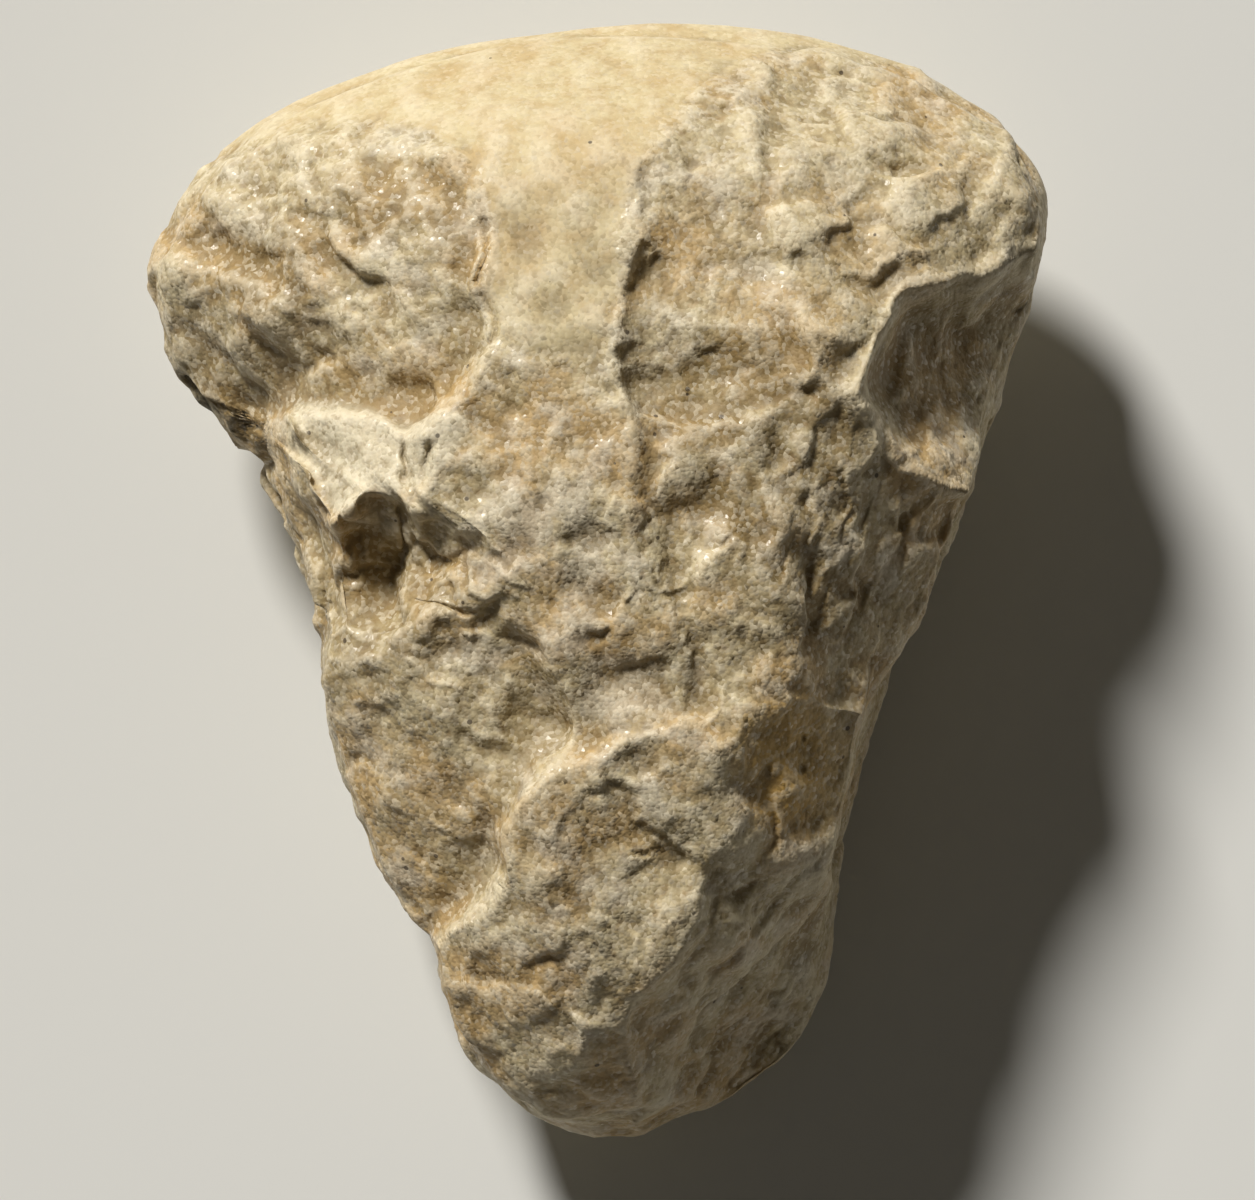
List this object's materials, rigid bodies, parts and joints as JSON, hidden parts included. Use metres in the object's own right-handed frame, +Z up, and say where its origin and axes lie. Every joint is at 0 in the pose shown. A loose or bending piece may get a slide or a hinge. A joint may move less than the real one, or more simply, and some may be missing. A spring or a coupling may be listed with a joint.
{
  "type": "pebble axe",
  "caption": "Hand-held stone axe flaked from a river cobble: rounded wide butt with cobble skin, scarred face, blunt narrow tip.",
  "frame": {"origin": "on the surface it lies on, under the middle of its box", "axes": "+Z up, out of the worked face; +Y from the narrow tip to the wide butt; +X to the right when looking down on the worked face with the butt away from you"},
  "size_m": [0.0872, 0.108, 0.046],
  "materials": {
    "quartzite": "dull, granular"
  },
  "bodies": {
    "root": {"pebble_axe": "quartzite"}
  },
  "joints": []
}
